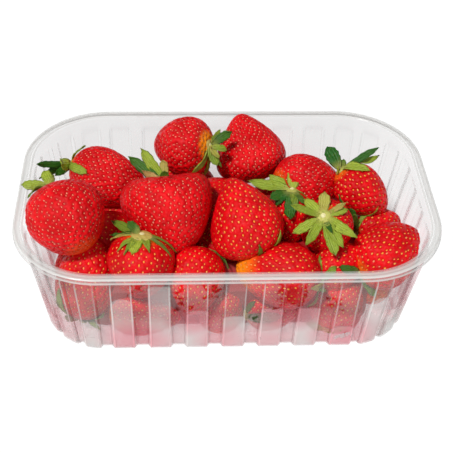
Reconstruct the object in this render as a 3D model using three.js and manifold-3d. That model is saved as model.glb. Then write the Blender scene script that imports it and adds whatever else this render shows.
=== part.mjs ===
// A punnet of strawberries: a clear ribbed tray without a lid, and a loose heap of whole fruit in it.
// Millimetres, +Z up. The origin is the middle of the tray's base, and the long side lies along X.
import * as THREE from 'three';
import { mergeVertices } from 'three/addons/utils/BufferGeometryUtils.js';
import Module from 'manifold-3d';

const wasm = await Module();
wasm.setup();

// ---- driving dimensions: the tray ------------------------------------------------------------
const RIM_LENGTH = 187; // over the lip, along X
const RIM_WIDTH = 120; // over the lip, along Y
const RIM_CORNER = 38; // radius of the lip's corners
const HEIGHT = 56; // table to the top of the rim
const SHEET = 0.8; // thickness of the moulded sheet
const FLANGE = 5.2; // width of the flat rim, from the lip's edge to the opening
const LIP_DROP = 2.4; // the lip's edge turned down
const WALL_LEAN = 8.5; // the walls stand this much further in at the base than at the rim
const BASE_ROUND = 6.6; // rounding between a wall and the base, on the outside
const RIB_COUNT = 34;
const RIB_DEPTH = 1.8; // how far a rib stands out of the wall
const RIB_TOP = 47; // the ribs run in full from the base to this height
const RIB_END = 51; // and have died away at this one
const RIB_SHIFT = 2; // the front's middle rib stands this far right of the centre

// ---- driving dimensions: the fruit -----------------------------------------------------------
const WALL_GAP = 0.5; // between the fruit and the inside of the tray
const FLOOR_GAP = 0.4; // between the fruit and the tray's floor
const RIM_GAP = 0.5; // leaves that lie over the rim keep this far inside the lip's edge
const HEAP_CEILING = 90; // above the highest berry
const CORE_INSET = 27; // the heap's hidden middle keeps this far inside the lip
const CORE_SHOULDER = 22; // up to this height
const CORE_TOP = 31;
const LEAF_SHEET = 0.9; // thickness of a calyx leaf
const LEAF_WIDTH = 4.6; // across the belly of a leaf in a plain star
const STAR_REACH = [0.88, 1.06, 0.94, 1.12, 1]; // how the leaves of a plain star differ, in turn
const LEAF_BELLY = 0.42; // how far out the belly is, as a share of the leaf
const LEAF_ROOT = 0.3; // width at the stalk, as a share of the belly's
const LEAF_START = 1.5; // the leaves part this far from the berry's axis
const LEAF_LEAST = 3; // narrower leaves are left out of the solid
const LEAF_ARCH = 0.12; // how far the middle of a leaf stands above a straight line, as a share of it

const DEG = Math.PI / 180;
const SAME_PLACE = 1e-3; // corners nearer to each other than this are one
const HALVINGS = 20; // steps of a search by halves

// Each berry: the middle of it, the heading and pitch of its tip in degrees, its length and greatest
// width, and how much fuller its shoulder is than its tip. Where a calyx shows, its leaves: how each is
// turned round the stalk, how far it reaches, how steeply it rises off the shoulder, and its width.
// The ones on top, from the left; the sixth one on are lower.
const TOP_BERRIES = [
  {
    at: [-70.5, -17.5, 53.5], tip: [-60, -28], size: [33, 35.5], full: 0.12,
    calyx: [
      [20, 14, 30, 5.5], [105, 10, 70, 6], [-15, 14, -15, 3.2], [-135, 5, 50, 2.6],
    ],
  },
  {
    at: [-54, 19, 45.5], tip: [-19, -11], size: [40, 28], full: 0.26,
    calyx: [
      [-25, 20, 35, 4], [-5, 13, 35, 5.5], [-40, 13, 5, 8], [-5, 12, 15, 4.5], [-40, 19, -40, 5],
      [-120, 12, -20, 2.6], [20, 17, 40, 2],
    ],
  },
  {
    at: [-25, -11.5, 47.5], tip: [-80, -25], size: [33, 42.5], full: 0.32, lobes: 10,
    calyx: [
      [-30, 21, 60, 8], [-10, 22, 45, 8], [-25, 13, 30, 5], [-85, 8, 30, 5], [-95, 12, 70, 5],
    ],
  },
  {
    at: [-19.8, 31, 56.3], tip: [155, -18], size: [29, 29], full: 0.31,
    calyx: [
      [-40, 13, 60, 5.5], [135, 10, 75, 4.5], [140, 12, 30, 6], [100, 17, -20, 3.6], [145, 16, -25, 4.5],
      [150, 10, 45, 3.5], [-5, 12, 5, 2.6], [130, 13, 35, 2.6],
    ],
  },
  { at: [12.5, 38, 49.5], tip: [114, 53], size: [33.5, 34.5], full: 0.45 },
  {
    at: [7, -15.5, 51], tip: [123, 51], size: [37.5, 33.5], full: 0.49,
    calyx: [
      [-65, 19, -30, 4.5], [-110, 18, -25, 3],
    ],
  },
  { at: [39, 14.5, 45.5], tip: [20, -14], size: [34, 29.5], full: 0.22 },
  {
    at: [64, 8, 46], tip: [-25, -38], size: [29, 22.5], full: 0.25,
    calyx: [
      [-175, 13, 65, 8], [-155, 6, 20, 4], [-130, 21, -15, 4.5], [-130, 20, -25, 4], [-90, 15, -35, 7.5],
      [-25, 5, 30, 4],
    ],
  },
  {
    at: [45, -13, 42], tip: [65, -60], size: [30, 25], full: 0.2,
    calyx: [
      [170, 17, 35, 4], [-155, 12, 5, 6], [-105, 12, 0, 6.5], [-40, 12, -15, 5], [-50, 12, 0, 3],
      [15, 18, -5, 6.5], [40, 17, -10, 5.5], [55, 19, -10, 6], [45, 9, 0, 3.2], [100, 16, 5, 5],
      [95, 15, 10, 4.5], [130, 16, 5, 5.5],
    ],
  },
  {
    at: [73, -23, 36], tip: [30, 14], size: [34, 30], full: 0.25,
    calyx: [
      [65, 17, -10, 5], [155, 14, -5, 4], [-110, 12, 45, 4],
    ],
  },
];

// Against the front wall and the ends, and just under the top.
const WALL_BERRIES = [
  {
    at: [-63, -24, 23], tip: [49, 74], size: [40, 30], full: 0.18,
    calyx: [
      [-100, 25, -50, 7], [-110, 18, -35, 4], [-85, 14, -15, 5], [-10, 18, -35, 5.5], [-20, 18, -10, 3],
      [-45, 11, -15, 4],
    ],
  },
  {
    at: [-38.5, -31.5, 36.5], tip: [-101, -76], size: [31, 29], full: 0.28,
    calyx: [
      [40, 23, -5, 6], [20, 17, -15, 3.6], [10, 16, -20, 4.2], [-45, 13, -20, 3.8], [-65, 13, -20, 3.6],
      [-80, 12, -20, 6.5], [-120, 11, -15, 4.8], [165, 18, -30, 3.4], [-165, 16, -25, 3],
      [110, 17, -10, 4.8], [10, 9, 40, 5],
    ],
  },
  {
    at: [-14.5, -34, 29], tip: [-100, -25], size: [31, 25], full: 0.28,
    calyx: [
      [-175, 19, -5, 4], [-175, 16, -30, 5],
    ],
  },
  {
    at: [22, -33.5, 33], tip: [168, 3], size: [39, 29], full: 0.26,
    calyx: [
      [-30, 12, -5, 5], [-40, 10, 35, 4], [-155, 12, -20, 5], [135, 13, -20, 4.5], [-170, 8, 5, 5],
    ],
  },
  {
    at: [30, -4, 41], tip: [-90, -70], size: [26, 18], full: 0.2,
    calyx: [
      [25, 22, 5, 7], [40, 14, 20, 6.5], [110, 11, 25, 6.5], [170, 18, -30, 5], [-25, 12, -10, 6],
      [-35, 11, -30, 6], [-80, 16, -35, 7], [-95, 10, -30, 4.5], [-120, 10, -20, 4],
    ],
  },
  {
    at: [72.5, 1, 30], tip: [24, 0], size: [25, 18.5], full: 0.16,
    calyx: [
      [-100, 20, -30, 4], [-115, 22, 10, 4], [-100, 16, 10, 5], [-90, 14, 10, 4],
    ],
  },
  { at: [-37, -37, 11], tip: [5, -8], size: [33, 18], full: 0.3 },
  { at: [-3, -32, 12], tip: [80, 40], size: [27, 21], full: 0.25 },
  {
    at: [21, -34, 10], tip: [10, 0], size: [26, 18], full: 0.2,
    calyx: [
      [-90, 9, -40, 4], [-30, 18, -60, 5.5],
    ],
  },
  {
    at: [51, -33, 15], tip: [60, 30], size: [30, 24], full: 0.25,
    calyx: [
      [-160, 10, 5, 5], [-25, 10, -40, 4.5],
    ],
  },
  { at: [68, -14, 13], tip: [100, 5], size: [28, 22], full: 0.2 },
];

// The middle of the heap, and the bottom layer along the right, back and left walls.
const DEEP_BERRIES = [
  { at: [-52, -5, 31], tip: [30, -20], size: [30, 25], full: 0.2 },
  { at: [-50, 16, 25], tip: [200, 10], size: [30, 25], full: 0.2, calyx: star(6, 13, 5, 10) },
  { at: [-33, 11, 34], tip: [200, 0], size: [28, 24], full: 0.2 },
  { at: [-5, -6, 28], tip: [90, 10], size: [26, 20], full: 0.2 },
  { at: [-4, 13, 36], tip: [30, 10], size: [30, 26], full: 0.2 },
  { at: [-19, 31, 33], tip: [10, 0], size: [30, 24], full: 0.2 },
  { at: [37, 36, 28], tip: [150, 0], size: [28, 24], full: 0.2 },
  { at: [50, -26, 31], tip: [20, 20], size: [26, 22], full: 0.2 },
  { at: [27, -19, 26], tip: [40, 0], size: [26, 22], full: 0.2 },
  { at: [68, 14, 13], tip: [95, -5], size: [26, 22], full: 0.25 },
  { at: [52, 31, 14], tip: [150, 5], size: [29, 24], full: 0.25, calyx: star(6, 11, 5, 0) },
  { at: [22, 34, 14], tip: [-175, 0], size: [29, 25], full: 0.25 },
  { at: [-9, 34, 14], tip: [5, 0], size: [29, 25], full: 0.25, calyx: star(6, 11, 0, 20) },
  { at: [-39, 33, 14], tip: [175, 0], size: [28, 24], full: 0.25 },
  { at: [-65, 20, 14], tip: [60, 10], size: [28, 23], full: 0.25, calyx: star(6, 10, 5, 0) },
  { at: [-70, -4, 13], tip: [100, 5], size: [25, 21], full: 0.25 },
];

// Flat sides round a berry, and bands from its calyx to its tip.
const LAYERS = [
  { berries: TOP_BERRIES, around: 12, along: 8 },
  { berries: WALL_BERRIES, around: 10, along: 6 },
  { berries: DEEP_BERRIES, around: 8, along: 6 },
];

// ---- tools -----------------------------------------------------------------------------------
// A closed geometry as a solid that can be joined and cut.
function solid(geometry) {
  geometry.deleteAttribute('normal');
  geometry.deleteAttribute('uv');
  const merged = mergeVertices(geometry, SAME_PLACE);
  return new wasm.Manifold(
    new wasm.Mesh({
      numProp: 3,
      vertProperties: new Float32Array(merged.attributes.position.array),
      triVerts: new Uint32Array(merged.index.array),
    }),
  );
}

// The fused body without the scraps that cutting leaves loose.
function largestPiece(body) {
  return body.decompose().reduce((best, piece) => (piece.volume() > best.volume() ? piece : best));
}

function namedMesh(name, body, material) {
  const result = body.getMesh();
  const geometry = new THREE.BufferGeometry();
  geometry.setAttribute('position', new THREE.BufferAttribute(new Float32Array(result.vertProperties), 3));
  geometry.setIndex(new THREE.BufferAttribute(new Uint32Array(result.triVerts), 1));
  geometry.computeVertexNormals();
  const mesh = new THREE.Mesh(geometry, material);
  mesh.name = name;
  return mesh;
}

// Moves every vertex of a geometry to where `place` puts it.
function reshape(geometry, place) {
  const position = geometry.attributes.position;
  const point = new THREE.Vector3();
  for (let i = 0; i < position.count; i += 1) {
    point.fromBufferAttribute(position, i);
    place(point, i);
    position.setXYZ(i, point.x, point.y, point.z);
  }
  return geometry;
}

// ---- the tray --------------------------------------------------------------------------------
// The lip's outline seen from above, anticlockwise from the middle of the front.
function lipOutline() {
  const x = RIM_LENGTH / 2 - RIM_CORNER;
  const y = RIM_WIDTH / 2 - RIM_CORNER;
  const outline = new THREE.Path();
  outline.moveTo(0, -RIM_WIDTH / 2);
  outline.lineTo(x, -RIM_WIDTH / 2);
  outline.absarc(x, -y, RIM_CORNER, -Math.PI / 2, 0);
  outline.lineTo(RIM_LENGTH / 2, y);
  outline.absarc(x, y, RIM_CORNER, 0, Math.PI / 2);
  outline.lineTo(-x, RIM_WIDTH / 2);
  outline.absarc(-x, y, RIM_CORNER, Math.PI / 2, Math.PI);
  outline.lineTo(-RIM_LENGTH / 2, -y);
  outline.absarc(-x, -y, RIM_CORNER, Math.PI, 1.5 * Math.PI);
  outline.lineTo(0, -RIM_WIDTH / 2);
  return outline;
}

// Four columns of each rib: the foot and the crest of its left flank, then of its right one.
const RIB_FLANKS = [
  { across: -0.34, crest: 0 },
  { across: -0.26, crest: 1 },
  { across: 0.26, crest: 1 },
  { across: 0.34, crest: 0 },
];
const NO_FLANKS = [{ across: 0, crest: 0 }];

// Where the columns of a shell stand: on every flank, or once a rib on a shell without ribs.
function columnsRound(flanks) {
  const outline = lipOutline();
  const length = outline.getLength();
  const columns = [];
  for (let rib = 0; rib < RIB_COUNT; rib += 1) {
    for (const { across, crest } of flanks) {
      const along = (((rib + across) / RIB_COUNT + RIB_SHIFT / length) % 1 + 1) % 1;
      const edge = outline.getPointAt(along);
      const tangent = outline.getTangentAt(along);
      columns.push({ edge, outward: new THREE.Vector2(tangent.y, -tangent.x), crest });
    }
  }
  return columns;
}

// A closed shell round the tray's outline. A section row is { inset, z, rib }: so far in from the
// lip's edge, so high, and so much of the ribs' depth. The first and the last row are on the axis.
function roundTray(section, flanks) {
  const columns = columnsRound(flanks);
  const turned = new THREE.LatheGeometry(section.map(({ inset }) => new THREE.Vector2(inset, 0)), columns.length);
  return reshape(turned, (point, i) => {
    const { inset, z, rib, axis } = section[i % section.length];
    const { edge, outward, crest } = columns[Math.floor(i / section.length) % columns.length];
    const out = crest * rib * RIB_DEPTH - inset;
    point.set(axis ? 0 : edge.x + outward.x * out, axis ? 0 : edge.y + outward.y * out, z);
  });
}

const onAxis = (z) => ({ inset: 0, z, rib: 0, axis: true });

// How far inside the lip's edge the wall's inner face stands at a height.
const wallInset = (z) => FLANGE + WALL_LEAN * (1 - z / HEIGHT);

// The quarter round from the base up into the wall, `depth` mm inside the outer face.
function baseRound(depth, rib) {
  const middle = wallInset(BASE_ROUND) - SHEET + BASE_ROUND;
  const radius = BASE_ROUND - depth;
  return [0, 0.5, 1].map((turn) => ({
    inset: middle - radius * Math.sin(turn * Math.PI / 2),
    z: BASE_ROUND - radius * Math.cos(turn * Math.PI / 2),
    rib,
  }));
}

function tray() {
  const outside = [
    onAxis(0),
    ...baseRound(0, 1),
    { inset: wallInset(RIB_TOP) - SHEET, z: RIB_TOP, rib: 1 },
    { inset: wallInset(RIB_END) - SHEET, z: RIB_END, rib: 0 },
    { inset: FLANGE - SHEET, z: HEIGHT - SHEET, rib: 0 },
    { inset: SHEET, z: HEIGHT - SHEET, rib: 0 },
    { inset: SHEET, z: HEIGHT - LIP_DROP, rib: 0 },
  ];
  const inside = [
    onAxis(SHEET),
    ...baseRound(SHEET, 1),
    { inset: wallInset(RIB_TOP), z: RIB_TOP, rib: 1 },
    { inset: wallInset(RIB_END), z: RIB_END, rib: 0 },
    { inset: FLANGE, z: HEIGHT, rib: 0 },
    { inset: SHEET / 2, z: HEIGHT, rib: 0 },
    { inset: 0, z: HEIGHT - LIP_DROP, rib: 0 },
  ];
  return solid(roundTray([...outside, ...inside.reverse()], RIB_FLANKS));
}

// ---- the heap --------------------------------------------------------------------------------
// The space that fruit can fill: clear of the floor, the walls and the rim, and open upwards.
function spaceInTray() {
  const inside = [
    onAxis(SHEET + FLOOR_GAP),
    ...baseRound(SHEET + WALL_GAP, 0).map((row) => ({ ...row, inset: row.inset + WALL_GAP })),
    { inset: FLANGE + WALL_GAP, z: HEIGHT + WALL_GAP, rib: 0 },
    { inset: RIM_GAP, z: HEIGHT + WALL_GAP, rib: 0 },
    { inset: RIM_GAP, z: HEAP_CEILING, rib: 0 },
    onAxis(HEAP_CEILING),
  ];
  return solid(roundTray(inside, NO_FLANKS));
}

function core() {
  const rows = [
    onAxis(SHEET + FLOOR_GAP),
    { inset: CORE_INSET, z: SHEET + FLOOR_GAP, rib: 0 },
    { inset: CORE_INSET, z: CORE_SHOULDER, rib: 0 },
    { inset: CORE_INSET + CORE_TOP - CORE_SHOULDER, z: CORE_TOP, rib: 0 },
    onAxis(CORE_TOP),
  ];
  return solid(roundTray(rows, NO_FLANKS));
}

// A frame whose Z axis points to the tip, standing at the berry's middle.
function berryFrame({ at, tip: [heading, pitch] }) {
  const along = new THREE.Vector3(
    Math.cos(heading * DEG) * Math.cos(pitch * DEG),
    Math.sin(heading * DEG) * Math.cos(pitch * DEG),
    Math.sin(pitch * DEG),
  );
  const side = new THREE.Vector3().crossVectors(along, new THREE.Vector3(0, 0, 1)).normalize();
  const third = new THREE.Vector3().crossVectors(along, side);
  return new THREE.Matrix4().makeBasis(side, third, along).setPosition(...at);
}

// The radius of a berry at an angle from its calyx, as a share of its greatest one.
function berryRadius(angle, full) {
  const widest = full === 0 ? Math.PI / 2 : Math.acos((Math.sqrt(1 + 8 * full * full) - 1) / (4 * full));
  const share = (turn) => Math.sin(turn) * (1 + full * Math.cos(turn));
  return share(angle) / share(widest);
}

// With lobes, the shoulder rises that far on either side of the stalk, as on a heart.
function berry({ size: [length, width], full, lobes = 0 }, { around, along }) {
  const ball = new THREE.SphereGeometry(1, around, along);
  return reshape(ball, (point) => {
    const angle = Math.acos(THREE.MathUtils.clamp(point.y, -1, 1));
    const turn = Math.atan2(point.z, point.x);
    const radius = berryRadius(angle, full) * width / 2;
    const shoulder = lobes * Math.cos(turn) ** 2 * Math.sin(angle) * (1 + Math.cos(angle)) / 2;
    point.set(radius * Math.cos(turn), radius * Math.sin(turn), -Math.cos(angle) * length / 2 - shoulder);
  });
}

// The leaves of a calyx that lie round the stalk as a plain star.
function star(leaves, reach, rise, turned) {
  const turns = Array.from({ length: leaves }, (_, leaf) => turned + leaf * 360 / leaves);
  return turns.map((turn, leaf) => [turn, reach * STAR_REACH[leaf % STAR_REACH.length], rise, LEAF_WIDTH]);
}

// How far the skin lies below the stalk's end at a distance from the berry's axis.
function shoulderDrop(radius, { size: [length, width], full }) {
  let [above, below] = [0, Math.PI / 2];
  for (let halving = 0; halving < HALVINGS; halving += 1) {
    const angle = (above + below) / 2;
    [above, below] = berryRadius(angle, full) * width / 2 < radius ? [angle, below] : [above, angle];
  }
  return (1 - Math.cos(above)) * length / 2;
}

// A pointed leaf in the berry's own frame: it arches out from the stalk and rests on the shoulder.
function leaf([turn, reach, rise, width], row) {
  const start = LEAF_START / reach;
  const outline = [[start, -LEAF_ROOT], [LEAF_BELLY, -1], [1, 0], [LEAF_BELLY, 1], [start, LEAF_ROOT]];
  const shape = new THREE.Shape(outline.map(([out, side]) => new THREE.Vector2(out * reach, side * width / 2)));
  const sheet = new THREE.ExtrudeGeometry(shape, { depth: LEAF_SHEET, bevelEnabled: false });
  const [steep, round] = [rise * DEG, turn * DEG];
  return reshape(sheet, (point) => {
    const share = point.x / reach;
    const lift = point.z + 4 * LEAF_ARCH * reach * share * (1 - share);
    const out = point.x * Math.cos(steep) - lift * Math.sin(steep);
    const shoulder = point.z - LEAF_SHEET / 2 - shoulderDrop(Math.hypot(out, point.y), row);
    const up = Math.max(point.x * Math.sin(steep) + lift * Math.cos(steep) - LEAF_SHEET / 2, shoulder);
    point.set(
      out * Math.cos(round) + point.y * Math.sin(round),
      out * Math.sin(round) - point.y * Math.cos(round),
      -row.size[0] / 2 - up,
    );
  });
}

function heap() {
  const pieces = [core()];
  for (const { berries, ...sides } of LAYERS) {
    for (const row of berries) {
      const frame = berryFrame(row);
      pieces.push(solid(berry(row, sides).applyMatrix4(frame)));
      for (const sepal of (row.calyx ?? []).filter(([, , , leafWidth]) => leafWidth >= LEAF_LEAST)) {
        pieces.push(solid(leaf(sepal, row).applyMatrix4(frame)));
      }
    }
  }
  return largestPiece(wasm.Manifold.union(pieces).intersect(spaceInTray()));
}

// ---- the part --------------------------------------------------------------------------------
const clearPlastic = new THREE.MeshStandardMaterial({
  color: '#e9eef0',
  roughness: 0.2,
  metalness: 0,
  transparent: true,
  opacity: 0.35,
});
const fruit = new THREE.MeshStandardMaterial({ color: '#c8151c', roughness: 0.35, metalness: 0 });

const punnet = new THREE.Group();
punnet.add(namedMesh('tray', tray(), clearPlastic));
punnet.add(namedMesh('strawberries', heap(), fruit));

export default punnet;
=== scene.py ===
"""A clear ribbed punnet heaped with strawberries.

Sizes are in millimetres and turned into metres as a mesh is placed. +Z is up, the origin is the middle
of the tray's base, and the long side of the tray lies along X.
"""

import math
import random
from collections import namedtuple

import bpy
import numpy as np
from mathutils import Matrix, Vector
from mathutils.kdtree import KDTree


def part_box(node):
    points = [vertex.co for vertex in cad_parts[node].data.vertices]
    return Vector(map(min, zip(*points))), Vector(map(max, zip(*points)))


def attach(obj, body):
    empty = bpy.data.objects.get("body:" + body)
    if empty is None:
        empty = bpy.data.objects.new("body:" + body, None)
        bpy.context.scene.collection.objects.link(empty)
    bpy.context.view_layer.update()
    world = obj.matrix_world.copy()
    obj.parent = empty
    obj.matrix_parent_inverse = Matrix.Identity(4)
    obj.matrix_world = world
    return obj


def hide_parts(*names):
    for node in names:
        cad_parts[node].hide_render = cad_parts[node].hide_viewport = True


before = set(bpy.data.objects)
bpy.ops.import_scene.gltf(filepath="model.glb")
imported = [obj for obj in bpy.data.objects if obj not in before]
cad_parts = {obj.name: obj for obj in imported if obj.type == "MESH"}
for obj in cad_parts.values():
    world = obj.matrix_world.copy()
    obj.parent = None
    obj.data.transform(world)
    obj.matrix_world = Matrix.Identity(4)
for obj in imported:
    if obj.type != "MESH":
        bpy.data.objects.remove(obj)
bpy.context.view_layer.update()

MM = 0.001
TRAY_LOW, TRAY_HIGH = (np.array(corner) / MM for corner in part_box("tray"))

# ---- the tray's driving dimensions -----------------------------------------------------------------
RIM_LENGTH, RIM_WIDTH, HEIGHT = TRAY_HIGH - TRAY_LOW * (1, 1, 0)
RIM_CORNER = 38
FLANGE = 5.2  # width of the flat rim, from the lip's edge to the opening
LIP_DROP = 2.4
WALL_LEAN = 8.5  # how much further in the wall stands at the table than at the rim
BASE_ROUND = 6.6
RIB_COUNT = 34
RIB_DEPTH = 1.8
RIB_TOP = 47  # the ribs are full up to here
RIB_END = 51  # and have run out here
RIB_SHIFT = 2  # how far right of the front's middle the first rib is
FRAME_SHEET = 0.8  # the sheet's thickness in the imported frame
SHEET = 0.5  # and as the real one is
HAIR = 0.01  # the sheet is this much thinner, so that its underside stays above the table
RAISED_BASE = 0.5  # the middle of the base stands clear of the table
FLOOR_GAP = 0.4  # fruit stays this far above the sheet
WALL_GAP = 0.5  # and this far from the wall
RIM_GAP = 0.5  # leaves that lie over the rim keep this far inside the lip's edge

# ---- the berries -----------------------------------------------------------------------------------
# The name of a berry, its middle, the heading and pitch of its tip in degrees, its length and greatest
# width, how much fuller its shoulder is than its tip, how high two lobes stand at its calyx, the skin
# that each of its seeds has in square millimetres, and the leaves of its calyx. The name also seeds its
# random draws.
Berry = namedtuple("Berry", "name at tip size full lobes seed_area leaves")
# How a leaf is turned round the stalk, how far it reaches, how steeply it rises off the shoulder, its
# width, and its tone: 0 is dark green and 1 pale green, and above 1 it is drying out. The tone is partly
# the leaf's own green and partly painted light and shade: paler where a leaf is lit, darker in shade.
Leaf = namedtuple("Leaf", "turn reach rise width tone")
STAR_REACH = (0.88, 1.06, 0.94, 1.12, 1)  # how the leaves of a plain star differ, in turn
STAR_WIDTH = 4.6
STAR_TONE = 0.15
STAR_PALER = 0.14  # how much paler each leaf of a plain star is than the one before
SEED_AREA = 7.4
CLOSE_SEEDS = 5.6  # on berries whose seeds stand closer


def berry(name, at, tip, size, full, leaves=(), lobes=0, seed_area=SEED_AREA):
    leaves = [Leaf(*leaf) for leaf in leaves]
    return Berry(name, np.array(at, float), tip, size, full, lobes, seed_area, leaves)


def star(leaves, reach, rise, turned):
    """The leaves of a calyx that lie round the stalk as a plain star."""
    rows = []
    for leaf in range(leaves):
        reaches = reach * STAR_REACH[leaf % len(STAR_REACH)]
        rows.append((turned + leaf * 360 / leaves, reaches, rise, STAR_WIDTH, STAR_TONE + STAR_PALER * leaf))
    return rows


TOP_BERRIES = [
    berry("A", (-70.5, -17.5, 53.5), (-60, -28), (33, 35.5), 0.12, [
        (20, 14, 30, 5.5, 0.95), (105, 10, 70, 6, 1), (-15, 14, -15, 3.2, 0.4), (-135, 5, 50, 2.6, 0.6),
    ], seed_area=CLOSE_SEEDS),
    berry("B", (-54, 19, 45.5), (-19, -11), (40, 28), 0.26, [
        (-25, 20, 35, 4, 0.05), (-5, 13, 35, 5.5, 0.05), (-40, 13, 5, 8, 0.95), (-5, 12, 15, 4.5, 0.05),
        (-40, 19, -40, 5, 0.85), (-120, 12, -20, 2.6, 0.6), (20, 17, 40, 2, 0.3),
    ], seed_area=CLOSE_SEEDS),
    berry("E", (-25, -11.5, 47.5), (-80, -25), (33, 42.5), 0.32, [
        (-30, 21, 60, 6.2, 0.9), (-10, 22, 45, 6.2, 0.1), (-25, 13, 30, 5, 1.5), (-85, 8, 30, 5, 0.2),
        (-95, 12, 70, 5, 1.3),
    ], lobes=10, seed_area=CLOSE_SEEDS),
    berry("C", (-19.8, 31, 56.3), (155, -18), (29, 29), 0.31, [
        (-40, 13, 60, 5.5, 0.1), (135, 10, 75, 4.5, 0.7), (140, 12, 30, 6, 0.6), (100, 17, -20, 3.6, 0.8),
        (145, 16, -25, 4.5, 0.85), (150, 10, 45, 3.5, 1.2), (-5, 12, 5, 2.6, 0.9), (130, 13, 35, 2.6, 0.3),
    ], seed_area=CLOSE_SEEDS),
    berry("D", (12.5, 38, 49.5), (114, 53), (33.5, 34.5), 0.45, seed_area=CLOSE_SEEDS),
    berry("F", (7, -15.5, 51), (123, 51), (37.5, 33.5), 0.49, [
        (-65, 19, -30, 4.5, 0.85), (-110, 18, -25, 3, 0.4),
    ]),
    berry("J", (39, 14.5, 45.5), (20, -14), (34, 29.5), 0.22, seed_area=CLOSE_SEEDS),
    berry("K", (64, 8, 46), (-25, -38), (29, 22.5), 0.25, [
        (-175, 13, 65, 8, 0), (-155, 6, 20, 4, 0.25), (-130, 21, -15, 4.5, 0.05), (-130, 20, -25, 4, 0.8),
        (-90, 15, -35, 7.5, 1), (-25, 5, 30, 4, 0.95),
    ]),
    berry("L", (45, -13, 42), (65, -60), (30, 25), 0.2, [
        (170, 17, 35, 4, 0.85), (-155, 12, 5, 6, 1), (-105, 12, 0, 6.5, 1.2), (-40, 12, -15, 5, 0.9),
        (-50, 12, 0, 3, 1.3), (15, 18, -5, 6.5, 0.95), (40, 17, -10, 5.5, 0.85), (55, 19, -10, 6, 0.8),
        (45, 9, 0, 3.2, 0.05), (100, 16, 5, 5, 0.9), (95, 15, 10, 4.5, 0.85), (130, 16, 5, 5.5, 0.95),
    ]),
    berry("M", (73, -23, 36), (30, 14), (34, 30), 0.25, [
        (65, 17, -10, 5, 0.4), (155, 14, -5, 4, 0.1), (-110, 12, 45, 4, 0.1),
    ]),
]
WALL_BERRIES = [
    berry("O", (-63, -24, 23), (49, 74), (40, 30), 0.18, [
        (-100, 25, -50, 7, 0.75), (-110, 18, -35, 4, 0.5), (-85, 14, -15, 5, 0.6), (-10, 18, -35, 5.5, 0.6),
        (-20, 18, -10, 3, 0.7), (-45, 11, -15, 4, 0.5),
    ]),
    berry("G", (-38.5, -31.5, 36.5), (-101, -76), (31, 29), 0.28, [
        (40, 23, -5, 6, 0.45), (20, 17, -15, 3.6, 0.1), (10, 16, -20, 4.2, 1.2), (-45, 13, -20, 3.8, 0.85),
        (-65, 13, -20, 3.6, 0.6), (-80, 12, -20, 6.5, 1), (-120, 11, -15, 4.8, 0.75),
        (165, 18, -30, 3.4, 0.5), (-165, 16, -25, 3, 0.4), (110, 17, -10, 4.8, 1.15), (10, 9, 40, 5, 0.1),
    ]),
    berry("H", (-14.5, -34, 29), (-100, -25), (31, 25), 0.28, [
        (-175, 19, -5, 4, 0.5), (-175, 16, -30, 5, 0.2),
    ]),
    berry("I", (22, -33.5, 33), (168, 3), (39, 29), 0.26, [
        (-30, 12, -5, 5, 0.7), (-40, 10, 35, 4, 0.6), (-155, 12, -20, 5, 1.3), (135, 13, -20, 4.5, 0.4),
        (-170, 8, 5, 5, 0.3),
    ]),
    berry("P", (30, -4, 41), (-90, -70), (26, 18), 0.2, [
        (25, 22, 5, 7, 0.8), (40, 14, 20, 6.5, 0.9), (110, 11, 25, 6.5, 1), (170, 18, -30, 5, 0.85),
        (-25, 12, -10, 6, 0.05), (-35, 11, -30, 6, 0), (-80, 16, -35, 7, 0.05), (-95, 10, -30, 4.5, 0.55),
        (-120, 10, -20, 4, 0.2),
    ]),
    berry("N", (72.5, 1, 30), (24, 0), (25, 18.5), 0.16, [
        (-100, 20, -30, 4, 0.8), (-115, 22, 10, 4, 0.15), (-100, 16, 10, 5, 0.1), (-90, 14, 10, 4, 0.3),
    ]),
    berry("front_1", (-37, -37, 11), (5, -8), (33, 18), 0.3),
    berry("front_2", (-3, -32, 12), (80, 40), (27, 21), 0.25),
    berry("front_3", (21, -34, 10), (10, 0), (26, 18), 0.2, [
        (-90, 9, -40, 4, 0.1), (-30, 18, -60, 5.5, 0.05),
    ]),
    berry("front_4", (51, -33, 15), (60, 30), (30, 24), 0.25, [
        (-160, 10, 5, 5, 0.4), (-25, 10, -40, 4.5, 0.5),
    ]),
    berry("front_5", (68, -14, 13), (100, 5), (28, 22), 0.2),
]
DEEP_BERRIES = [
    berry("middle_1", (-52, -5, 31), (30, -20), (30, 25), 0.2),
    berry("middle_2", (-50, 16, 25), (200, 10), (30, 25), 0.2, star(6, 13, 5, 10)),
    berry("middle_3", (-33, 11, 34), (200, 0), (28, 24), 0.2),
    berry("middle_4", (-5, -6, 28), (90, 10), (26, 20), 0.2),
    berry("middle_5", (-4, 13, 36), (30, 10), (30, 26), 0.2),
    berry("middle_6", (-19, 31, 33), (10, 0), (30, 24), 0.2),
    berry("middle_7", (37, 36, 28), (150, 0), (28, 24), 0.2),
    berry("middle_8", (50, -26, 31), (20, 20), (26, 22), 0.2),
    berry("middle_9", (27, -19, 26), (40, 0), (26, 22), 0.2),
    berry("back_1", (68, 14, 13), (95, -5), (26, 22), 0.25),
    berry("back_2", (52, 31, 14), (150, 5), (29, 24), 0.25, star(6, 11, 5, 0)),
    berry("back_3", (22, 34, 14), (-175, 0), (29, 25), 0.25),
    berry("back_4", (-9, 34, 14), (5, 0), (29, 25), 0.25, star(6, 11, 0, 20)),
    berry("back_5", (-39, 33, 14), (175, 0), (28, 24), 0.25),
    berry("back_6", (-65, 20, 14), (60, 10), (28, 23), 0.25, star(6, 10, 5, 0)),
    berry("back_7", (-70, -4, 13), (100, 5), (25, 21), 0.25),
]
ALL_BERRIES = TOP_BERRIES + WALL_BERRIES + DEEP_BERRIES

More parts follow.
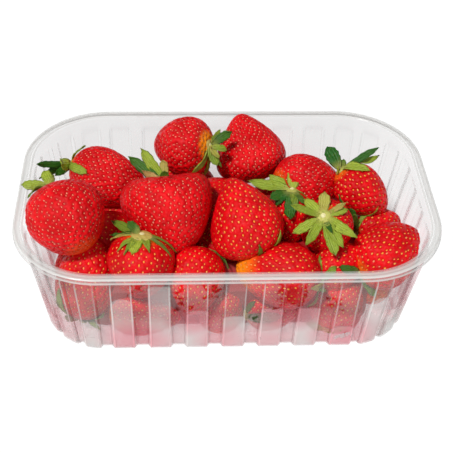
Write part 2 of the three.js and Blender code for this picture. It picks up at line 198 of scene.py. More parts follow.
SEED_SIZE = (0.36, 0.6, 0.26)  # half the width, length and thickness of a seed
SMALL_SEEDS = 0.68  # how much smaller the seeds that stand closer are
SEED_STANDS = 0.2  # its middle stands this far above the bottom of its pit
PIT_RADIUS = 1.35
PIT_DEPTH = 0.85
GOLDEN_ANGLE = math.pi * (3 - math.sqrt(5))
SEED_SHIFT = 0.035  # how far seeds stray from their spiral: radians round the berry
SEED_SLIP = 0.012  # and along it
SEED_BARE = 0.02  # no seed is nearer to the stalk or the tip than this
SEED_DIFFERS = (0.8, 1.2)  # from the smallest seed to the largest
SEED_BANDS = 400  # the skin is measured in so many bands
BURIED = 0.8  # seeds this deep in another berry are left out
SWELLS = 5
SWELL_TURN = (1.6, 3.6)  # radians of a swell's wave over one radius of the berry
SWELL_HEIGHT = (0.008, 0.02)  # as a share of the radius
BALL = 4  # subdivisions of the ball that every berry starts from
TOP_CUTS, WALL_CUTS, DEEP_CUTS = 4, 2, 1  # and the cuts that each of its edges then gets

CORE_INSET = 27  # how far inside the lip's edge the hidden middle of the heap is
CORE_SHOULDER = 22  # how high its sides are, and above them it leans in
CORE_TOP = 31
CORE_SIDES = 68


# ---- meshes ----------------------------------------------------------------------------------------
def deselect():
    bpy.ops.object.select_all(action="DESELECT")


def focus(obj):
    deselect()
    obj.select_set(True)
    bpy.context.view_layer.objects.active = obj


def coordinates(mesh):
    flat = np.empty(len(mesh.vertices) * 3)
    mesh.vertices.foreach_get("co", flat)
    return flat.reshape(-1, 3)


def move_to(mesh, points):
    mesh.vertices.foreach_set("co", np.asarray(points, float).ravel())
    mesh.update()


def paint(mesh, name, values):
    """A number for each vertex, which a material reads by its name."""
    layer = mesh.attributes.get(name) or mesh.attributes.new(name, "FLOAT", "POINT")
    layer.data.foreach_set("value", np.asarray(values, np.float32))


def apply_modifiers(obj):
    focus(obj)
    for modifier in list(obj.modifiers):
        bpy.ops.object.modifier_apply(modifier=modifier.name)


def smooth(obj):
    focus(obj)
    bpy.ops.object.shade_smooth()


def finish_piece(obj, material, node):
    obj.data.materials.clear()
    obj.data.materials.append(material)
    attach(obj, "root")
    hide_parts(node)
    return obj


def copies_as_one(name, base, placed, layers=None):
    """One mesh of many copies of a base mesh, each with its own coordinates."""
    points = coordinates(base)
    faces = [tuple(face.vertices) for face in base.polygons]
    all_points = np.concatenate(placed)
    all_faces = [
        tuple(index + copy * len(points) for index in face) for copy in range(len(placed)) for face in faces
    ]
    mesh = bpy.data.meshes.new(name)
    mesh.from_pydata(all_points, [], all_faces)
    for layer, values in (layers or {}).items():
        paint(mesh, layer, values)
    obj = bpy.data.objects.new(name, mesh)
    bpy.context.scene.collection.objects.link(obj)
    smooth(obj)
    return obj


# ---- materials -------------------------------------------------------------------------------------
# For a Mix node: input 0 is then the share of input 7 over input 6, and output 2 is the colour.
COLOURS = {"data_type": "RGBA"}
SMOOTH = {"interpolation_type": "SMOOTHSTEP"}  # for a Map Range node
TIMES_PLUS = {"operation": "MULTIPLY_ADD"}  # for a Math node


def linear(hex_colour):
    """A #rrggbb colour as a linear RGBA value."""
    channels = [int(hex_colour[i:i + 2], 16) / 255 for i in (1, 3, 5)]
    return [c / 12.92 if c <= 0.04045 else ((c + 0.055) / 1.055) ** 2.4 for c in channels] + [1]


def new_material(name):
    material = bpy.data.materials.new(name)
    material.use_nodes = True
    material.node_tree.nodes.clear()
    return material, material.node_tree


def add_node(tree, kind, output=0, settings=None, **inputs):
    """Adds a shader node with its settings, and sets or links its inputs, which are named or numbered as
    _1. It gives the output of that name or number."""
    node = tree.nodes.new("ShaderNode" + kind)
    for key, value in (settings or {}).items():
        setattr(node, key, value)
    for key, value in inputs.items():
        key = key.strip("_").replace("_", " ")
        socket = node.inputs[int(key) if key.isdigit() else key]
        if isinstance(value, bpy.types.NodeSocket):
            tree.links.new(value, socket)
        else:
            socket.default_value = value
    return node.outputs[output] if len(node.outputs) else node


def strawberry_skin():
    """Ripe strawberry: a thin waxy skin, deep saturated red, glinting where it swells between the pits, and
    darkened in the pits by painted shade.
    """
    material, tree = new_material("ripe strawberry skin")
    place = add_node(tree, "TexCoord", "Object")
    pit = add_node(tree, "Attribute", "Fac", {"attribute_name": "pit"})
    unripe = add_node(tree, "Attribute", "Fac", {"attribute_name": "unripe"})
    blotches = add_node(tree, "TexNoise", "Fac", Vector=place, Scale=1 / (9 * MM), Detail=3.0, Roughness=0.6)
    # Real skin's grain is far under a millimetre. It and the wax over it are drawn as coarse as they show.
    grain = add_node(tree, "TexNoise", "Fac", Vector=place, Scale=1 / (1.3 * MM), Detail=4.0, Roughness=0.7)
    waxy = add_node(tree, "TexNoise", "Fac", Vector=place, Scale=1 / (0.9 * MM), Detail=1.0)
    patches = add_node(tree, "MapRange", 0, SMOOTH, Value=blotches, From_Min=0.35, From_Max=0.68)
    # Painted shade: the skin is painted darker the deeper it lies in a seed's pit.
    painted_pit_shade = add_node(tree, "MapRange", 0, SMOOTH, Value=pit, From_Min=0.15, From_Max=0.95, To_Max=0.45)
    colour = add_node(tree, "Mix", 2, COLOURS, _0=patches, _6=linear("#cc040c"), _7=linear("#ee0c16"))
    for share, tint in ((unripe, "#ff9414"), (painted_pit_shade, "#8c040a")):
        colour = add_node(tree, "Mix", 2, COLOURS, _0=share, _6=colour, _7=linear(tint))
    bumps = add_node(tree, "Bump", Strength=1.0, Distance=0.4 * MM, Height=grain)
    coat_bumps = add_node(tree, "Bump", Strength=1.0, Distance=0.7 * MM, Height=waxy)
    skin = add_node(
        tree, "BsdfPrincipled",
        Base_Color=colour, Roughness=0.3, IOR=1.4, Specular_IOR_Level=0.12, Normal=bumps,
        Subsurface_Weight=0.06, Subsurface_Radius=(1.0, 0.2, 0.1), Subsurface_Scale=1.0 * MM,
        Coat_Weight=0.32, Coat_Roughness=0.1, Coat_IOR=1.4, Coat_Normal=coat_bumps,
    )
    add_node(tree, "OutputMaterial", Surface=skin)
    return material


# The husks' colour from one tone to another: on berries whose seeds stand closer it goes from straw to
# tan, and on the others, from half way up, over yellow to orange.
HUSK_TONES = ((0.0, 0.5, 1.0, "#f4a478"), (0.5, 1.0, 1.0, "#f8a62c"), (0.5, 0.56, 0.55, "#ffcc48"))


def seed_husk():
    """Strawberry achenes: dry and hard, straw yellow to orange, with a dull shine."""
    material, tree = new_material("strawberry seed husk")
    tone = add_node(tree, "Attribute", "Fac", {"attribute_name": "tone"})
    colour = linear("#fbc49c")
    for low, high, most, tint in HUSK_TONES:
        share = add_node(tree, "MapRange", 0, SMOOTH, Value=tone, From_Min=low, From_Max=high, To_Max=most)
        colour = add_node(tree, "Mix", 2, COLOURS, _0=share, _6=colour, _7=linear(tint))
    husk = add_node(tree, "BsdfPrincipled", Base_Color=colour, Roughness=0.4, IOR=1.45)
    add_node(tree, "OutputMaterial", Surface=husk)
    return material


def calyx_leaf():
    """Fresh sepals: thin matt leaf with fine lengthwise veins, from deep green to a pale yellow green that is
    partly painted light and shade, paler at the root, tan where it dries, and cream where the stalk was
    picked off."""
    material, tree = new_material("fresh strawberry sepal")
    place = add_node(tree, "TexCoord", "Object")
    uv = add_node(tree, "TexCoord", "UV")
    tone, root, dry, scar = (
        add_node(tree, "Attribute", "Fac", {"attribute_name": name})
        for name in ("tone", "root", "dry", "scar")
    )
    veins = add_node(
        tree, "TexWave", "Fac", {"bands_direction": "X"}, Vector=uv, Scale=1.6, Distortion=3.5, Detail=2.0,
    )
    speckle = add_node(tree, "TexNoise", "Fac", Vector=place, Scale=1 / (1.6 * MM), Detail=3.0)
    light = add_node(tree, "Mix", 2, COLOURS, _0=veins, _6=linear("#98ac30"), _7=linear("#aabb40"))
    dark = add_node(tree, "Mix", 2, COLOURS, _0=veins, _6=linear("#1c5a14"), _7=linear("#266818"))
    pale = add_node(tree, "Math", 0, {"operation": "MULTIPLY"}, _0=root, _1=0.75)
    spots = add_node(tree, "MapRange", 0, SMOOTH, Value=speckle, From_Min=0.56, From_Max=0.72, To_Max=0.45)
    # Each leaf's tone: partly its own green, partly painted light and painted shade by how lit it is.
    colour = add_node(tree, "Mix", 2, COLOURS, _0=tone, _6=dark, _7=light)
    for share, tint in ((pale, "#c6c065"), (dry, "#c9a263"), (spots, "#5f6a20"), (scar, "#e6dfa6")):
        colour = add_node(tree, "Mix", 2, COLOURS, _0=share, _6=colour, _7=linear(tint))
    creases = add_node(tree, "Math", 0, TIMES_PLUS, _0=speckle, _1=3.0, _2=veins)
    bumps = add_node(tree, "Bump", Strength=0.8, Distance=0.3 * MM, Height=creases)
    leaf = add_node(
        tree, "BsdfPrincipled",
        Base_Color=colour, Roughness=0.45, IOR=1.42, Normal=bumps,
        Subsurface_Weight=0.1, Subsurface_Radius=(0.5, 0.9, 0.2), Subsurface_Scale=0.8 * MM,
    )
    add_node(tree, "OutputMaterial", Surface=leaf)
    return material


# What each face of the tray's sheet scatters of the light, as a share, and where.
HAZE_LOW, HAZE_HIGH = 0.3, 0.11  # just above the table, and from half way up
HAZE_HEIGHTS = (14, 30)
HAZE_WAVER = 14  # the edge of the haze wanders at most half of this up and down
FROST = 0.2  # added on the ribs' frosted panels
FROST_EDGE = (0.35, 0.5)  # frosted fully up to the first distance, not at all past the other
FROST_FRAY = 0.8  # and a panel's edge wanders at most so far
PAINTED_BEND_LINES = 0.42  # added along sharp bends, as painted highlight lines
EDGE_SHINE = 0.5  # added where the sheet is seen edge on
MOST_COVER = 0.95  # the most that all of these add up to
WET_GAP = (1.15, 1.5)  # fruit wets the sheet fully up to the first distance, and not at all past the other
WET_EDGE = 0.2  # half the width of a wet spot's soft edge
WET_FRAY = 16  # and that edge wanders at most half of this in and out
PRESSED_HAZE, WET_HAZE = 0.1, 0.05  # the share of the haze that is left under fruit, and in a wet spot
FRUIT_LIGHT_TOP = (44, 52)  # painted red light from the fruit in the haze: full up to the first height, none past the other
FRUIT_LIGHT_GAP = (1.5, 14)  # and full up to the first distance from fruit, none past the other
# The share of light that each face lets through at the back, and at the ends and front: less at the back, as
# painted shade on the back wall, and more at the front and ends, as painted light on the fruit behind them.
PASSED_BACK, PASSED_FRONT = (0.917, 0.919, 0.919, 1), (0.965, 0.965, 0.965, 1)


def clear_plastic():
    """Thermoformed clear polypropylene: a faint milky haze that thickens towards the base and is painted
    pink near fruit with its red light, white lines painted as highlights where it is bent sharply,
    painted shade on the back wall, and clear where wet fruit presses on it."""
    material, tree = new_material("thermoformed clear polypropylene")
    place = add_node(tree, "TexCoord", "Object")
    panel, wet, gap, bend, thin = (
        add_node(tree, "Attribute", "Fac", {"attribute_name": name})
        for name in ("panel_edge", "wet_edge", "fruit_gap", "bend", "thin")
    )
    height = add_node(tree, "SeparateXYZ", "Z", Vector=place)
    cloud, ragged = (
        add_node(tree, "TexNoise", "Fac", Vector=place, Scale=1 / (width * MM), Detail=2.0)
        for width in (11, 2.5)
    )
    ripple = add_node(tree, "TexNoise", "Fac", Vector=place, Scale=1 / (6 * MM), Detail=1.0)
    up_down, in_out = (
        add_node(tree, "Math", 0, {"operation": "SUBTRACT"}, _0=noise, _1=0.5) for noise in (cloud, ragged)
    )
    wavering = add_node(tree, "Math", 0, TIMES_PLUS, _0=up_down, _1=HAZE_WAVER * MM, _2=height)
    frayed = add_node(tree, "Math", 0, TIMES_PLUS, _0=ragged, _1=FROST_FRAY, _2=panel)
    splashed = add_node(tree, "Math", 0, TIMES_PLUS, _0=in_out, _1=WET_FRAY, _2=wet)
    slant = add_node(tree, "LayerWeight", "Facing", Blend=0.25)
    haze, frosted, pressed, wetted, edge, below_rim, near_fruit = (
        add_node(
            tree, "MapRange", 0, SMOOTH, Value=value, From_Min=at, From_Max=to, To_Min=first, To_Max=last,
        )
        for value, (at, to), first, last in (
            (wavering, (HAZE_HEIGHTS[0] * MM, HAZE_HEIGHTS[1] * MM), HAZE_LOW, HAZE_HIGH),
            (frayed, FROST_EDGE, FROST, 0),
            (gap, WET_GAP, PRESSED_HAZE, 1),
            (splashed, (-WET_EDGE, WET_EDGE), WET_HAZE, 1),
            (slant, (0.5, 1), 0, EDGE_SHINE),
            (height, (FRUIT_LIGHT_TOP[0] * MM, FRUIT_LIGHT_TOP[1] * MM), 1, 0),
            (gap, FRUIT_LIGHT_GAP, 1, 0),
        )
    )
    milk = add_node(tree, "Math", 0, {"operation": "ADD"}, _0=haze, _1=frosted)
    dry = add_node(tree, "Math", 0, {"operation": "MINIMUM"}, _0=pressed, _1=wetted)
    cover = add_node(tree, "Math", 0, TIMES_PLUS, _0=milk, _1=dry, _2=edge)
    # Painted highlight lines: the haze is whiter along the sheet's bends.
    cover = add_node(tree, "Math", 0, TIMES_PLUS, _0=bend, _1=PAINTED_BEND_LINES, _2=cover)
    cover = add_node(tree, "Math", 0, {"operation": "MINIMUM"}, _0=cover, _1=MOST_COVER)
    # Painted light: the haze turns pink near fruit below the rim, as if lit red by it.
    painted_fruit_light = add_node(tree, "Math", 0, {"operation": "MULTIPLY"}, _0=near_fruit, _1=below_rim)
    tint = add_node(tree, "Mix", 2, COLOURS, _0=painted_fruit_light, _6=linear("#e4e3e0"), _7=linear("#ee96a2"))
    # Painted shade: the back wall lets less light through than the front and ends.
    passed = add_node(tree, "Mix", 2, COLOURS, _0=thin, _6=PASSED_BACK, _7=PASSED_FRONT)
    bumps = add_node(tree, "Bump", Strength=0.15, Distance=0.3 * MM, Height=ripple)
    milky = add_node(tree, "BsdfPrincipled", Base_Color=tint, Roughness=0.22, IOR=1.49, Normal=bumps)
    clear = add_node(tree, "BsdfTransparent", Color=passed)
    sheet = add_node(tree, "MixShader", Fac=cover, _1=clear, _2=milky)
    add_node(tree, "OutputMaterial", Surface=sheet)
    return material


def fruit_shadow():
    """The unseen middle of the heap: a dark red that stands for deeper fruit in painted shade between the
    berries, matt, with slow changes of colour.
    """
    material, tree = new_material("dark red fruit flesh")
    place = add_node(tree, "TexCoord", "Object")
    mottle = add_node(tree, "TexNoise", "Fac", Vector=place, Scale=1 / (5 * MM), Detail=3.0)
    colour = add_node(tree, "Mix", 2, COLOURS, _0=mottle, _6=linear("#8a0c10"), _7=linear("#b4161a"))
    flesh = add_node(tree, "BsdfPrincipled", Base_Color=colour, Roughness=0.6)
    add_node(tree, "OutputMaterial", Surface=flesh)
    return material


TABLE_GLOW = 1.0


def white_table():
    """A light table: dark matt glass with an even white glow, so that nothing casts a shadow on it."""
    material, tree = new_material("glowing light table")
    place = add_node(tree, "TexCoord", "Object")
    grain = add_node(tree, "TexNoise", "Fac", Vector=place, Scale=1 / (3 * MM), Detail=2.0)
    colour = add_node(tree, "Mix", 2, COLOURS, _0=grain, _6=linear("#3c3c3c"), _7=linear("#404040"))
    top = add_node(
        tree, "BsdfPrincipled",
        Base_Color=colour, Roughness=0.9, Specular_IOR_Level=0.0,
        Emission_Color=linear("#ffffff"), Emission_Strength=TABLE_GLOW,
    )
    add_node(tree, "OutputMaterial", Surface=top)
    return material


# ---- the tray --------------------------------------------------------------------------------------
HALF_STRAIGHT_X = RIM_LENGTH / 2 - RIM_CORNER
HALF_STRAIGHT_Y = RIM_WIDTH / 2 - RIM_CORNER
OUTLINE_LENGTH = 4 * HALF_STRAIGHT_X + 4 * HALF_STRAIGHT_Y + 2 * math.pi * RIM_CORNER
PITCH = OUTLINE_LENGTH / RIB_COUNT


def outline_at(distance):
    """A point of the lip's outline and the direction out of it, anticlockwise from the front's middle."""
    quarter = math.pi / 2 * RIM_CORNER
    left = distance % OUTLINE_LENGTH
    corners = [(1, -1), (1, 1), (-1, 1), (-1, -1)]
    runs = [HALF_STRAIGHT_X, 2 * HALF_STRAIGHT_Y, 2 * HALF_STRAIGHT_X, 2 * HALF_STRAIGHT_Y]
    for turn, ((side_x, side_y), run) in enumerate(zip(corners, runs)):
        heading = -math.pi / 2 + turn * math.pi / 2
        out = np.array([math.cos(heading), math.sin(heading)])
        along = np.array([-out[1], out[0]])
        centre = np.array([side_x * HALF_STRAIGHT_X, side_y * HALF_STRAIGHT_Y])
        if left < run:
            return centre + out * RIM_CORNER + along * (left - run), out
        left -= run
        if left < quarter:
            angle = heading + left / RIM_CORNER
            out = np.array([math.cos(angle), math.sin(angle)])
            return centre + out * RIM_CORNER, out
        left -= quarter
    return np.array([left - HALF_STRAIGHT_X, -RIM_WIDTH / 2]), np.array([0.0, -1.0])


def inside_lip(points):
    """How far each point is inside the lip's outline, and the direction out of the tray there."""
    corner = np.array([HALF_STRAIGHT_X, HALF_STRAIGHT_Y])
    from_corner = np.abs(points[:, :2]) - corner
    out = np.maximum(from_corner, 0)
    distance = np.linalg.norm(out, axis=1)
    inner = np.minimum(from_corner.max(axis=1), 0)
    side = np.eye(2)[from_corner.argmax(axis=1)]
    direction = np.where(distance[:, None] > 1e-9, out / np.maximum(distance, 1e-9)[:, None], side)
    return RIM_CORNER - distance - inner, direction * np.sign(points[:, :2])


def wall_inset(z):
    """How far inside the lip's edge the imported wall's inner face stands."""
    return FLANGE + WALL_LEAN * (1 - z / HEIGHT)


def base_round(depth, steps):
    """The quarter round from the base up into the wall, at a depth inside the outer face, as inset and z."""
    middle = wall_inset(BASE_ROUND) - FRAME_SHEET + BASE_ROUND
    radius = BASE_ROUND - depth
    turns = [step / steps * math.pi / 2 for step in range(steps + 1)]
    return [(middle - radius * math.sin(turn), BASE_ROUND - radius * math.cos(turn)) for turn in turns]


# Where a rib's columns stand, in pitches from its middle, and how bright the painted highlight line along the
# sheet's bend is there.
HALF_RIB = {
    0: 0, 0.12: 0, 0.237: 0, 0.249: 1, 0.26: 1, 0.272: 0,
    0.33: 0, 0.341: 0.4, 0.351: 0.4, 0.362: 0, 0.43: 0, 0.5: 0,
}
RIB_CREST = 0.255  # half the width of a rib's flat crest, in pitches
RIB_FOOT = 0.345  # and of its foot
RIB_SHINE = (0.3, 1.1)  # the painted highlight lines along the ribs' bends, from the dullest to the brightest
FRONT_TURN = (0.3, 0.9)  # how far forward a wall faces where its painted highlight lines begin to be as bright as the front's, and fully
# The frosted panel of each rib of the front wall, counted from its middle rib: the height of its top
# and the rounding of its upper corners.
FRONT_PANELS = {
    -3: (40, 4), -2: (48, 1), -1: (31, 1), 0: (26.5, 1), 1: (32, 1.5), 2: (32, 1), 3: (18, 2), 4: (37, 3),
}
PANEL_FOOT = 4  # how high the panels begin
PANEL_HALF = 4.5  # and half their width
LOW_PANELS = (8, 22)  # how high the other walls' panels reach
LOW_CORNER = 1.5
# Where juice joins fruit and front wall: from left to right, and from bottom to top.
WET_SPOTS = [
    (-42, -37, 44, 50), (-22.5, -20, 31, 49), (-18.2, -16.5, 33.5, 36), (-10.7, -4.6, 40, 49),
    (20.6, 31.6, 33.5, 49), (7.7, 12.3, 9.4, 12.7), (9.8, 11.7, 21, 24), (43, 46, 30, 38), (47, 55, 9, 13),
]
TABLE_HIGHLIGHT = 0.35  # how bright the painted highlight line along the edge round the base is
JOIN = 0.01  # the sheet's points nearer than this are one
RING_REACH = 0.05  # the open ring round the base's middle is looked for so far up and down
SIDE_SHINE = 0.12  # how much of the front ribs' painted highlight lines the side and back ones show


def smoothstep(value):
    t = np.clip(value, 0, 1)
    return t * t * (3 - 2 * t)


def rib_columns():
    """Each column's point, direction out, share of the rib, painted highlight along its bend, distance from
    the rib's middle and rib.
    """
    shares = sorted([-share for share in HALF_RIB if 0 < share < 0.5] + list(HALF_RIB))
    draw = random.Random(3)
    columns = []
    for rib in range(RIB_COUNT):
        shine = {side: draw.uniform(*RIB_SHINE) for side in (-1, 0, 1)}
        for share in shares:
            point, out = outline_at((rib + share) * PITCH + RIB_SHIFT)
            crest = float(smoothstep((RIB_FOOT - abs(share)) / (RIB_FOOT - RIB_CREST)))
            faces_front = float(smoothstep((-out[1] - FRONT_TURN[0]) / (FRONT_TURN[1] - FRONT_TURN[0])))
            front = SIDE_SHINE + (1 - SIDE_SHINE) * faces_front
            bend = HALF_RIB[abs(share)] * shine[int(np.sign(share))] * front
            columns.append((point, out, crest, bend, abs(share) * PITCH, rib))
    return columns


# A row of the sheet: how far inside the lip's edge, its height, its share of the ribs' depth, the painted
# highlight along its bend.
Row = namedtuple("Row", "inset z ribs bend")
# The base: how far inside the foot of the wall, how high above the table's side, ribs and painted highlight.
BASE_ROWS = ((20, RAISED_BASE, 0, 0), (12, RAISED_BASE, 0, 0.3), (10.5, 0, 0, 0.3), (5, 0, 0.4, 0))
FOOT_STEPS = 7
FOOT_HIGHLIGHT_STEP = 2  # the step of the foot's round that gets a painted highlight line
WALL_STEPS = 18
RUN_OUT_STEPS = 4  # where the ribs run out
SHOULDER = 1.4  # radius of the round from the wall onto the rim
SHOULDER_INSET = 0.15
# How bright the painted highlight lines along the shoulder's round are.
SHOULDER_HIGHLIGHT = 0.8
RIM_ROWS = ((3, 0, 0.6), (2.5, 0.25, 0.9), (2, 0.3, 0.6), (1.6, 0.1, 0.9))  # inset, depth below the top, painted highlight along the bend
BEAD = 0.9  # radius of the bead along the lip's edge
# How bright the painted highlight lines along the lip's bead are.
BEAD_HIGHLIGHT = 1.5
LIP_INSET = 0.15
LIP_ROWS = ((0.25, 1.5, 0.1), (LIP_INSET, 2, 0.8), (0, LIP_DROP, 0.8))  # inset, depth below the top, painted highlight along the bend
ROUND_TURNS = range(0, 91, 18)  # degrees


def tray_section():
    """The sheet's upper face from the middle of the base to the lip's edge."""
    foot = base_round(SHEET, FOOT_STEPS)
    wall = SHEET - FRAME_SHEET
    rows = [Row(foot[0][0] + further, SHEET + up, ribs, bend) for further, up, ribs, bend in BASE_ROWS]
    rows += [Row(inset, z, 1, TABLE_HIGHLIGHT * (step == FOOT_HIGHLIGHT_STEP)) for step, (inset, z) in enumerate(foot)]
    for step in range(1, WALL_STEPS + 1):
        z = BASE_ROUND + (RIB_TOP - BASE_ROUND) * step / WALL_STEPS
        rows.append(Row(wall_inset(z) + wall, z, 1, 0))
    for step in range(1, RUN_OUT_STEPS + 1):
        share = step / RUN_OUT_STEPS
        z = RIB_TOP + (RIB_END - RIB_TOP) * share
        rows.append(Row(wall_inset(z) + wall, z, float(1 - smoothstep(share)), 0))
    for turn in ROUND_TURNS:
        angle = math.radians(turn)
        inset = FLANGE + wall + SHOULDER_INSET - SHOULDER * (1 - math.cos(angle))
        bend = SHOULDER_HIGHLIGHT * (turn in ROUND_TURNS[3:5])
        rows.append(Row(inset, HEIGHT - SHOULDER + SHOULDER * math.sin(angle), 0, bend))
    rows += [Row(inset, HEIGHT - down, 0, bend) for inset, down, bend in RIM_ROWS]
    for turn in ROUND_TURNS:
        angle = math.radians(turn)
        inset = BEAD - BEAD * math.sin(angle) + LIP_INSET
        bend = BEAD_HIGHLIGHT * (turn in ROUND_TURNS[:4])
        rows.append(Row(inset, HEIGHT - BEAD + BEAD * math.cos(angle), 0, bend))
    return rows + [Row(inset, HEIGHT - down, 0, bend) for inset, down, bend in LIP_ROWS]


def panel_edge(across, height, top, corner):
    """Distance to the edge of a frosted panel with round upper corners: below nothing inside it."""
    side = np.stack([across - PANEL_HALF + corner, height - top + corner])
    rounded = np.linalg.norm(np.maximum(side, 0), axis=0) + np.minimum(side.max(axis=0), 0) - corner
    return np.maximum(rounded, PANEL_FOOT - height)


def wet_edge(point):
    """Distance to the edge of the nearest wet spot of the front wall: below nothing inside one."""
    x, y, z = point
    if y > 0:
        return RIM_LENGTH
    return min(max(left - x, x - right, low - z, z - high) for left, right, low, high in WET_SPOTS)


def select_ring(obj, height):
    """Selects the open edge round the middle of the base."""
    bpy.ops.object.mode_set(mode="EDIT")
    bpy.ops.mesh.select_mode(type="EDGE")
    bpy.ops.mesh.select_all(action="DESELECT")
    bpy.ops.mesh.select_non_manifold()
    bpy.ops.object.mode_set(mode="OBJECT")
    for edge in obj.data.edges:
        middle = sum((obj.data.vertices[v].co.z for v in edge.vertices)) / 2
        edge.select = edge.select and abs(middle - height) < RING_REACH * MM
    for vertex in obj.data.vertices:
        vertex.select = False
    for edge in obj.data.edges:
        if edge.select:
            for v in edge.vertices:
                obj.data.vertices[v].select = True


def close_sheet(obj, height):
    """Joins the sheet's two ends, and fills the ring at a height round the middle of its base."""
    focus(obj)
    bpy.ops.object.mode_set(mode="EDIT")
    bpy.ops.mesh.select_all(action="SELECT")
    bpy.ops.mesh.remove_doubles(threshold=JOIN * MM)
    bpy.ops.mesh.select_all(action="DESELECT")
    bpy.ops.object.mode_set(mode="OBJECT")
    select_ring(obj, height)
    bpy.ops.object.mode_set(mode="EDIT")
    bpy.ops.mesh.edge_face_add()
    bpy.ops.mesh.select_all(action="SELECT")
    bpy.ops.mesh.normals_make_consistent(inside=True)
    bpy.ops.object.mode_set(mode="OBJECT")


def face_up(obj):
    """Turns the sheet over if the middle of its base faces the table."""
    widest = max(obj.data.polygons, key=lambda face: face.area)
    if widest.normal.z < 0:
        focus(obj)
        bpy.ops.object.mode_set(mode="EDIT")
        bpy.ops.mesh.select_all(action="SELECT")
        bpy.ops.mesh.flip_normals()
        bpy.ops.object.mode_set(mode="OBJECT")


def tray(material, skins):
    """The tray, from one sheet that goes round it, with what the plastic's material reads at each point."""
    rows = tray_section()
    columns = rib_columns()
    draw = random.Random(11)
    panels = [
        FRONT_PANELS.get(rib if rib < RIB_COUNT / 2 else rib - RIB_COUNT)
        or (draw.uniform(*LOW_PANELS), LOW_CORNER)
        for rib in range(RIB_COUNT)
    ]
    deselect()
    bpy.ops.mesh.primitive_grid_add(x_subdivisions=len(columns), y_subdivisions=len(rows) - 1, size=1)
    obj = bpy.context.object
    obj.name = "clear_tray"
    ring = len(columns) + 1
    points = np.empty((len(rows) * ring, 3))
    edges, bend_highlights, thin = (np.empty(len(points)) for _ in range(3))
    for index in range(len(points)):
        row = rows[index // ring]
        point, out, crest, bend, across, rib = columns[index % ring % len(columns)]
        place = point + out * (crest * row.ribs * RIB_DEPTH - row.inset)
        points[index] = (*place, row.z)
        edges[index] = panel_edge(np.array(across), np.array(row.z), *panels[rib])
        # How bright the painted highlight line is at each point.
        bend_highlights[index] = max(row.bend, bend * row.ribs)
        thin[index] = out[0] ** 2 + min(out[1], 0) ** 2  # 1 at the ends and front, 0 at the back
    move_to(obj.data, points * MM)
    wet = [wet_edge(point) for point in points]
    layers = {"panel_edge": edges, "bend": bend_highlights, "thin": thin, "wet_edge": wet}
    layers["fruit_gap"] = gap_to_fruit(points, skins)
    for name, values in layers.items():
        paint(obj.data, name, values)
    close_sheet(obj, rows[0].z * MM)
    face_up(obj)
    sheet = obj.modifiers.new("sheet", "SOLIDIFY")
    sheet.thickness = (SHEET - HAIR) * MM
    sheet.offset = -1
    sheet.use_even_offset = True
    apply_modifiers(obj)
    smooth(obj)
    return finish_piece(obj, material, "tray")


# ---- the fruit -------------------------------------------------------------------------------------
def berry_axes(row):
    """The berry's own axes, as rows: across, third and along, which points to the tip."""
    heading, pitch = (math.radians(angle) for angle in row.tip)
    along = np.array([
        math.cos(heading) * math.cos(pitch), math.sin(heading) * math.cos(pitch), math.sin(pitch),
    ])
    side = np.cross(along, (0, 0, 1))
    side /= np.linalg.norm(side)
    return np.array([side, np.cross(along, side), along])


def radius_share(angle, full):
    """A berry's radius at an angle from its calyx, as a share of its greatest one."""
    widest = math.pi / 2 if full == 0 else math.acos((math.sqrt(1 + 8 * full * full) - 1) / (4 * full))
    return np.sin(angle) * (1 + full * np.cos(angle)) / (math.sin(widest) * (1 + full * math.cos(widest)))


def from_stalk(angle, turn):
    """Directions from a berry's middle, at an angle from its stalk and turned round its axis."""
    return np.stack([np.sin(angle) * np.cos(turn), np.sin(angle) * np.sin(turn), -np.cos(angle)], axis=1)


def unevenness(row, directions):
    """Slow swells that make each berry a little different, as a share of its radius."""
    draw = random.Random("swell " + row.name)
    total = np.zeros(len(directions))
    for _ in range(SWELLS):
        heading = np.array([draw.gauss(0, 1) for _ in range(3)])
        heading *= draw.uniform(*SWELL_TURN) / np.linalg.norm(heading)
        total += np.sin(directions @ heading + draw.uniform(0, 2 * math.pi)) * draw.uniform(*SWELL_HEIGHT)
    return total


def on_berry(row, directions):
    """Points of the berry's skin, in its own axes, for directions from its middle with Z to the tip."""
    length, width = row.size
    angle = np.arccos(np.clip(-directions[:, 2], -1, 1))
    turn = np.arctan2(directions[:, 1], directions[:, 0])
    radius = radius_share(angle, row.full) * width / 2
    swell = 1 + unevenness(row, directions)
    shoulder = row.lobes * np.cos(turn) ** 2 * np.sin(angle) * (1 + np.cos(angle)) / 2
    return np.stack([
        radius * np.cos(turn) * swell,
        radius * np.sin(turn) * swell,
        -np.cos(angle) * length / 2 * swell - shoulder,
    ], axis=1)


def inside_berry(row, points):
    """How deep each world point lies inside a berry, about: below nothing outside it."""
    own = (points - row.at) @ berry_axes(row).T
    length, width = row.size
    across = np.linalg.norm(own[:, :2], axis=1)
    turn = np.arctan2(own[:, 1], own[:, 0])
    angle = np.arccos(np.clip(-own[:, 2] / (length / 2), -1, 1))
    swell = 1 + unevenness(row, from_stalk(angle, turn))
    along = -own[:, 2] / (length / 2 * swell)
    angle = np.arccos(np.clip(along, -1, 1))
    beyond = np.hypot(np.maximum(np.abs(along) - 1, 0) * length / 2, across)
    return np.where(np.abs(along) < 1, radius_share(angle, row.full) * width / 2 * swell - across, -beyond)


def gap_to_fruit(points, skins):
    """How far each point of the tray is from the nearest berry's skin."""
    tree = KDTree(sum(len(skin) for skin in skins))
    for index, place in enumerate(np.concatenate(skins)):
        tree.insert(place, index)
    tree.balance()
    return [tree.find(place)[2] for place in points]


